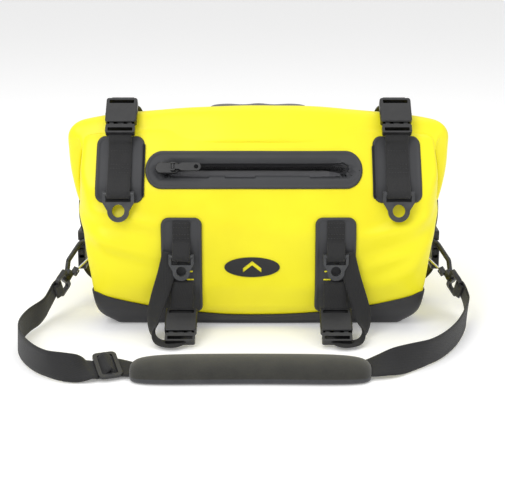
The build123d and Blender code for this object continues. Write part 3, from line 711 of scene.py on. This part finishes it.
zip_patch = bmesh.new()
for vert in rounded_grid(zip_patch, *ZIP_PATCH, 0.85):
    x, y = vert.co.x, vert.co.y
    vert.co, _ = skin_at(ZIP_PLACE[0] + x, -130, ZIP_PLACE[1] + y, zip_patch_height(x, y))
give_thickness(finish_piece("zip_surround", zip_patch, RUBBER, ("zip_patch",), sheet=True), 0.2)

tape = bmesh.new()
for vert in rounded_grid(tape, 208, 15, 7.4, 0.65):
    x, y = vert.co.x, vert.co.y
    ridges = sum(lift * math.exp(-((abs(y) - at) / 0.5) ** 2) for at, lift in ((0.9, 0.5), (2.6, 0.35), (4.4, 0.35)))
    inside = min(max((edge_gap(x, y, *WINDOW) - 1.2) / 2.5, 0.0), 1.0)
    vert.co, _ = skin_at(ZIP_PLACE[0] + x, -130, ZIP_PLACE[1] + y, 0.65 + ridges * inside)
give_thickness(finish_piece("zip_tape_cloth", tape, ZIP_CLOTH, ("zip_tape",), sheet=True), 0.5)

liner = bmesh.new()
for vert in rounded_grid(liner, 226, 90, 10, 4.0):
    x, y = vert.co.x, vert.co.y
    vert.co, _ = skin_at(ZIP_PLACE[0] + x, -130, ZIP_PLACE[1] - 30 + y, -4.0)
give_thickness(finish_piece("pocket_liner_cloth", liner, LINER, ("pocket_liner",), sheet=True), 0.6)

teeth = bmesh.new()
TOOTH_PITCH = 2.3
for i in range(round(196 / TOOTH_PITCH)):
    for side in (-1, 1):
        x = -98 + (i + 0.25 + 0.25 * side) * TOOTH_PITCH
        spot, normal = skin_at(ZIP_PLACE[0] + x, -130, ZIP_PLACE[1] + side * 0.9, 0.85)
        tooth = bmesh.ops.create_cube(teeth, size=1.0)["verts"]
        turn = normal.to_track_quat("Z", "Y").to_matrix().to_4x4()
        bmesh.ops.scale(teeth, vec=(0.0013, 0.0028, 0.0012), verts=tooth)
        bmesh.ops.rotate(teeth, matrix=turn, verts=tooth)
        bmesh.ops.translate(teeth, vec=spot, verts=tooth)
finish_piece("zip_chain", teeth, BUCKLE, ("zip_teeth",))

# %% [markdown]
# ## Ring webbing
# Each ring hangs in a loop of webbing that is box-stitched to its patch. The webbing comes down
# the patch, goes round the ring's bar and back up behind itself. The bar's place is the ring
# joint's own pivot, so the loop fits the moving ring.

# %% Ring webbing
swings = [joint for joint in frame["joints"] if joint["name"].startswith("ring_")]
joint_place = {joint["name"]: Vector(joint["pos_m"]) for joint in swings}
WEB = band(0.025, 0.0017)
NARROW_WEB = band(0.019, 0.0016)
ACROSS = Vector((1, 0, 0))


def loop_route(bar, out, rise):
    """Round a bar: from the outer layer above it, under it, to the inner layer behind."""
    steps = ((13, -1.9), (6, 2.2), (1.5, 4.6), (-3.4, 3.6), (-4.2, -1.5), (-1.5, -4.2), (5, -4.0), (12, -4.2))
    return [bar + (rise * up + out * ahead) * MM for up, ahead in steps]


def sewn_loop(mesh, name, top_points, outline):
    bar = joint_place[name + "_swing"]
    _, out = skin_at(bar.x / MM, bar.y / MM, bar.z / MM)
    out = Vector((0, out.y, out.z)).normalized()
    rise = Vector((0, -out.z, out.y)) * (1 if out.y > 0 else -1)
    points = spline_points(list(top_points) + loop_route(bar, out, rise))
    return strip(flat_frames(points, ACROSS, outline), mesh)


ring_web = bmesh.new()
for word, x in (("left", -1), ("right", 1)):
    wide, narrow = x * 150, x * 83
    sewn_loop(ring_web, f"ring_front_upper_{word}",
              [mm(wide, -84, 216), mm(wide, -89.5, 209)] + [skin_at(wide, -130, z, 4.4)[0] for z in (199, 184, 170)], WEB)
    sewn_loop(ring_web, f"ring_front_lower_{word}", [skin_at(narrow, -130, z, 5.2)[0] for z in (124, 112, 103)], NARROW_WEB)
    sewn_loop(ring_web, f"ring_rear_lower_{word}", [skin_at(narrow, 130, z, 3.2)[0] for z in (148, 138, 130)], NARROW_WEB)
    roof = [cast(SKIN, mm(wide, y, 300), Vector((0, 0, -1)), 0.0034)[0] for y in (62, 78, 92)]
    sewn_loop(ring_web, f"ring_rear_upper_{word}", roof + [mm(wide, 107, 188), mm(wide, 117, 180)], WEB)
finish_piece("sewn_ring_webbing", ring_web, WEBBING, ("ring_webbing",))

# %% [markdown]
# ## Box stitching
# The stitches that hold the webbing are short turns of thread that stand up from it. Each one is
# a small ball drawn out along its row and laid on the skin at the webbing's height. Below each
# front ring the yellow skin shows through two short slits in the patch's inner side.

# %% Stitches and slits
STITCH = (1.15, 0.42, 0.42)


def stitch_row(mesh, centre, facing, wide, stand, pitch=3.0):
    """A level row of stitches across a strip of webbing, at a centre given in millimetres."""
    count = round(wide / pitch)
    for i in range(count):
        x = centre[0] + (i - (count - 1) / 2) * pitch
        spot, normal = skin_at(x, facing * 130, centre[1], stand)
        ball = bmesh.ops.create_icosphere(mesh, subdivisions=1, radius=MM)["verts"]
        bmesh.ops.scale(mesh, vec=STITCH, verts=ball)
        bmesh.ops.translate(mesh, vec=spot, verts=ball)


stitches = bmesh.new()
slits = bmesh.new()
for x in (-1, 1):
    for z in (197, 193, 180, 176, 172):
        stitch_row(stitches, (x * 150, z), -1, 22, 5.3)
    for z in (122, 118, 111, 107):
        stitch_row(stitches, (x * 83, z), -1, 17, 6.0)
    for z in (146, 142, 136, 132):
        stitch_row(stitches, (x * 83, z), 1, 17, 4.0)
    for facing, heights, stand in ((-1, (48, 44), 8.4), (1, (64, 60), 2.6)):
        for z in heights:
            stitch_row(stitches, (x * 83, z), facing, 22, stand)
    for z, wide in ((70, 6), (61, 8)):
        slit = rounded_grid(slits, wide, 1.6, 0.7, 0.8)
        for vert in slit:
            vert.co, _ = skin_at(x * 74 + vert.co.x, -130, z + vert.co.y, 3.9)
finish_piece("box_stitching", stitches, THREAD)
give_thickness(finish_piece("patch_slits", slits, YELLOW, sheet=True), 0.3)

# %% [markdown]
# ## Lashing straps
# The top straps close the roll, the side straps hold the ears down, and the mounting straps go
# round a seat or a rack. Each is one flat band along a smooth line through listed points.

# %% Top, side and mounting straps


def band_along(mesh, route, sides, outline):
    """A band whose width turns smoothly from one chosen direction to the next."""
    points = spline_points(route, 12)
    frames = []
    for i, (point, ahead) in enumerate(zip(points, tangents(points))):
        spot = i / (len(points) - 1) * (len(sides) - 1)
        low = min(int(spot), len(sides) - 2)
        side = Vector(sides[low]).lerp(Vector(sides[low + 1]), spot - low)
        side = (side - ahead * side.dot(ahead)).normalized()
        frames.append((point, side, side.cross(ahead).normalized(), outline))
    return strip(frames, mesh)


FLOOR_GAP = 0.0004
top_web, side_web, mount_web = bmesh.new(), bmesh.new(), bmesh.new()
for way in (-1, 1):
    route = [(-57, 241), (-52, 247.5), (-45, 246.5), (-34, 237), (-8, 231.5), (22, 224.5), (44, 215), (64, 204.5), (100, 192.5)]
    band_along(top_web, [mm(way * 150, y, z) for y, z in route], [(1, 0, 0), (1, 0, 0)], WEB)
    route = [(206.5, 130), (207.6, 118), (207.6, 106), (206.5, 96), (204.5, 86)]
    band_along(side_web, [mm(way * x, -11, z) for x, z in route], [(0, 1, 0), (0, 1, 0)], WEB)
    route = [(205.5, 43), (203, 37), (196, 30), (188, 21), (181, 12), (175, 5), (170, 2)]
    band_along(side_web, [mm(way * x, -11, z) for x, z in route], [(0, 1, 0), (0, 1, 0)], WEB)
    for facing, y in ((-1, 131.4), (1, 128.6)):
        route = [(y - 1.5, 60), (y, 50), (y + 0.5, 40), (y + 3, 31), (y + 5.5, 24)]
        band_along(mount_web, [mm(way * 83, facing * a, z) for a, z in route], [(1, 0, 0), (1, 0, 0)], WEB)
        route = [(94, y - 1, 92), (97, y, 78), (102, y + 1.5, 60), (108, y + 4, 42), (113, y + 9, 25),
                 (113, y + 18, 11), (107, y + 30, 5), (97, y + 40, 4.4), (87, y + 41, 5), (83, y + 35, 7)]
        sides = [(1, 0, 0.1), (1, 0, 0.25), (0.9, -facing * 0.3, 0.3), (0.3, facing * -1, 0), (0, facing * -1, 0), (0.6, 0.4, 0)]
        sides = [(way * a, b, way * c) for a, b, c in sides]
        band_along(mount_web, [mm(way * x, facing * a, z) for x, a, z in route], sides, NARROW_WEB)
for vert in mount_web.verts:
    vert.co.z = max(vert.co.z, FLOOR_GAP)
finish_piece("top_strap_webbing", top_web, WEBBING, ("top_straps",))
finish_piece("side_strap_webbing", side_web, WEBBING, ("side_straps",))
finish_piece("mounting_strap_webbing", mount_web, WEBBING, ("mounting_straps",))

end_web = bmesh.new()
for way in (-1, 1):
    bar_x, bar_z = 198, 104
    route = [(199.5, 127), (200.2, 120), (200.6, 113), (202.4, 106), (201.5, 100.5), (197.5, 99.6), (194.6, 102.5), (195.5, 110), (197, 118)]
    band_along(end_web, [mm(way * x, -14, z) for x, z in route], [(0, 1, 0), (0, 1, 0)], band(0.022, 0.0014))
finish_piece("side_ring_webbing", end_web, WEBBING, ("end_webbing",))

# %% [markdown]
# ## Carry handle
# Webbing runs between the rear upper patches, and a foam grip is wrapped round its middle. The
# grip swells between its ends, with a bound edge all round.

# %% Handle and grip
handle = bmesh.new()
route = [(-148, 197.5), (-136, 200), (-120, 207), (-100, 215.5), (-78, 217.5), (0, 218), (78, 217.5), (100, 215.5), (120, 207), (136, 200), (148, 197.5)]
band_along(handle, [mm(x, 56, z) for x, z in route], [(0, 1, -0.2), (0, 1, 0), (0, 1, -0.2)], WEB)
finish_piece("handle_webbing", handle, WEBBING, ("carry_handle",))


def pillow(wide, thick, lip, count=24):
    """A crowned outline, in metres, with a thin lip at each edge."""
    outline = []
    for i in range(count):
        angle = 2 * math.pi * i / count
        x = math.cos(angle)
        swell = math.copysign(abs(math.sin(angle)) ** 0.8, math.sin(angle))
        rim = lip * math.copysign(min(1, abs(math.sin(angle)) * 3), math.sin(angle))
        body = max(0.0, 1 - (abs(x) / 0.9) ** 6) if abs(x) < 0.9 else 0.0
        outline.append((x * wide / 2, rim / 2 + (swell * thick / 2 - rim / 2) * body))
    return outline


grip_frames = []
for i in range(31):
    u = -1 + i / 15
    round_end = max(0.02, 1 - abs(u) ** 10) ** 0.5
    soft = 0.85 + 0.15 * math.cos(u * math.pi * 3) * (1 - abs(u))
    outline = pillow(0.044 * (0.55 + 0.45 * round_end), 0.0135 * max(round_end, 0.25) * soft, 0.003)
    grip_frames.append((mm(u * 60, 56, 217.6), Vector((0, 1, 0)), Vector((0, 0, 1)), outline))
grip = finish_piece("padded_grip", strip(grip_frames), GRIP, ("handle_grip",), levels=1)

# %% [markdown]
# ## Shoulder strap
# The strap lies in front of the bag. Its two lengths of webbing stand on edge from the snap hooks
# to the pad, and turn flat as they reach it. The bands follow a smooth line through the same
# points as the plain strap in the frame.

# %% Shoulder webbing and pad
STRAP_OUTLINE = band(0.028, 0.0022, 6)
UPRIGHT, LEANING, FLAT = (0.05, 0, 1), (0.1, 0.5, 1), (0, 1, 0.05)
LOOP, GLIDE = (0, -0.707, 0.707), (-0.32, 0.89, 0.3)
STRAP_ROUTE = [
    ((-229.3, -78.6, 30.2), LOOP), ((-219.5, -74, 34.5), LOOP), ((-228.5, -70.8, 37.7), LOOP),
    ((-235, -84, 25), LOOP), ((-240, -102, 16.5), UPRIGHT), ((-252, -132, 15.5), UPRIGHT),
    ((-254, -172, 15), UPRIGHT), ((-240, -214, 15), UPRIGHT), ((-214, -250, 15), UPRIGHT),
    ((-186, -262, 15), LEANING), ((-168, -254, 10), GLIDE), ((-158, -248, 6.8), GLIDE), ((-151, -244.5, 14.6), GLIDE),
    ((-149, -243.5, 14.6), GLIDE), ((-142, -241, 6.8), GLIDE), ((-122, -244, 5), FLAT), ((-90, -247, 4), FLAT),
    ((-40, -246, 3.6), FLAT), ((20, -246, 3.6), FLAT), ((70, -247, 4), FLAT), ((106, -246, 7), FLAT),
    ((128, -244, 12), (0, 1, 0.6)), ((148, -238, 15), LEANING), ((180, -216, 15), UPRIGHT),
    ((206, -176, 15), UPRIGHT), ((223, -134, 15.5), UPRIGHT), ((232, -102, 17), UPRIGHT),
    ((234, -84, 25), LOOP), ((228.5, -70.8, 37.7), LOOP), ((219.5, -74, 34.5), LOOP), ((228.9, -78.3, 30.4), LOOP),
]
pad_frames = []
for i in range(41):
    u = -1 + i / 20
    close = max(0.0, 1 - abs(u) ** 7) ** 0.5
    wide = 54 * (0.42 + 0.58 * close)
    rise = 19 * (0.6 + 0.4 * close)
    wall = 8 * (0.55 + 0.45 * close)
    arch = []
    for k in range(15):
        angle = math.pi * (1 - k / 14)
        groove = 0.8 * math.exp(-((abs(math.cos(angle)) - 0.86) / 0.05) ** 2)
        arch.append((wide / 2 * math.cos(angle), 0.6 + (rise - groove) * math.sin(angle) ** 0.72))
    for k in range(13):
        angle = math.pi * k / 12
        arch.append(((wide / 2 - wall) * math.cos(angle), 0.6 + max((rise - wall) * math.sin(angle) ** 0.8, 0.0)))
    outline = [(a * MM, b * MM) for a, b in arch]
    bow = 3.0 * math.cos(u * math.pi / 2)
    pad_frames.append((mm(-8 + u * 120, -248 + bow, 0), Vector((0, 1, 0)), Vector((0, 0, 1)), outline))
pad_mesh = strip(pad_frames)
pad_mesh.verts.index_update()
for face in pad_mesh.faces:
    rows = {vert.index % len(arch) for vert in face.verts}
    face.material_index = int(rows in ({0, 1}, {13, 14}))
pad = finish_piece("shoulder_strap_pad", pad_mesh, [PAD_TOP, PAD_LIP], ("shoulder_pad",), levels=1)

places = [mm(*point) for point, _ in STRAP_ROUTE]
line = spline_points(places, 12)
webbing = band_along(bmesh.new(), places, [side for _, side in STRAP_ROUTE], STRAP_OUTLINE)
webbing = finish_piece("shoulder_strap_webbing", webbing, WEBBING, ("shoulder_webbing",))

# %% [markdown]
# ## Hard fittings
# The rings, buckles, hooks and zip slider keep their CAD shape and only get their finish.

# %% Finishes of the CAD nodes
FINISHES = {
    "ring_plastic": RING, "ring_gloss": GLOSS, "buckle_plastic": BUCKLE, "hook_plastic": HOOK,
    "gate_steel": WIRE, "zip_plastic": BUCKLE, "liner_fabric": LINER, "stiffener_board": BOARD,
    "emblem_print": EMBLEM, "yellow_tarpaulin": YELLOW, "black_tarpaulin": BLACK,
}
for part in frame["record"]["subparts"]:
    if part["material_slot"] in FINISHES:
        fittings = nodes[part["node"]].data.materials
        fittings.clear()
        fittings.append(FINISHES[part["material_slot"]])
